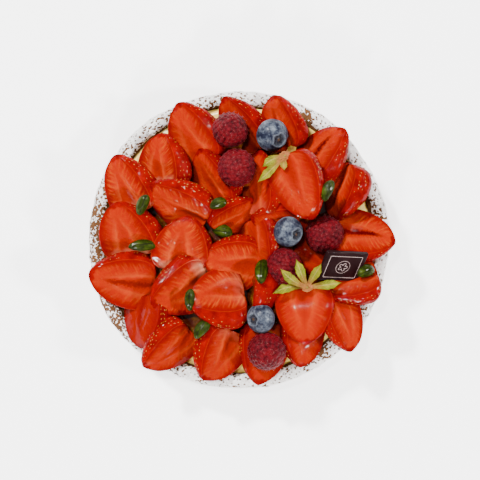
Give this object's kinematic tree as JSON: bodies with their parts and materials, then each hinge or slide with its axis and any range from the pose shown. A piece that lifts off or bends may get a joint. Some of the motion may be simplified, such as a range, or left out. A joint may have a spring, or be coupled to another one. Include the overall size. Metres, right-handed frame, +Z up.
{
  "type": "strawberry tart",
  "caption": "Round pastry tart with a sugared rim, filled with cream and heaped with glazed strawberry halves, raspberries, blueberries, pistachios and a chocolate plaque.",
  "frame": {"origin": "centre of the flat underside of the pastry shell", "axes": "+Z up out of the filling; +Y away from the viewer who reads the plaque from the front; +X to that viewer's right"},
  "size_m": [0.1828, 0.1786, 0.0597],
  "materials": {
    "pastry": "matte, baked, sugared rim",
    "cream": "satin",
    "strawberry": "wet, glazed",
    "raspberry": "soft, matte",
    "blueberry": "dusty bloom",
    "pistachio": "matte",
    "leaf": "matte",
    "chocolate": "satin"
  },
  "bodies": {
    "root": {"blueberry1": "blueberry", "blueberry2": "blueberry", "blueberry3": "blueberry", "calyx1": "leaf", "calyx2": "leaf", "cream": "cream", "crust": "pastry", "halfmid18": "strawberry", "halfmid19": "strawberry", "halfmid20": "strawberry", "halfmid21": "strawberry", "halfmid22": "strawberry", "halfmid23": "strawberry", "halfmid24": "strawberry", "halfmid25": "strawberry", "halfmid26": "strawberry", "halfmid27": "strawberry", "halfmid28": "strawberry", "halfmid29": "strawberry", "halfmid30": "strawberry", "halfmid31": "strawberry", "halfrim01": "strawberry", "halfrim02": "strawberry", "halfrim03": "strawberry", "halfrim04": "strawberry", "halfrim05": "strawberry", "halfrim06": "strawberry", "halfrim07": "strawberry", "halfrim08": "strawberry", "halfrim09": "strawberry", "halfrim10": "strawberry", "halfrim11": "strawberry", "halfrim12": "strawberry", "halfrim13": "strawberry", "halfrim14": "strawberry", "halfrim15": "strawberry", "halfrim16": "strawberry", "halfrim17": "strawberry", "halftop1": "strawberry", "halftop2": "strawberry", "pistachio1": "pistachio", "pistachio2": "pistachio", "pistachio3": "pistachio", "pistachio4": "pistachio", "pistachio5": "pistachio", "pistachio6": "pistachio", "pistachio7": "pistachio", "pistachio8": "pistachio", "pistachio9": "pistachio", "plaque": "chocolate", "raspberry1": "raspberry", "raspberry2": "raspberry", "raspberry3": "raspberry", "raspberry4": "raspberry", "raspberry5": "raspberry"}
  },
  "joints": []
}
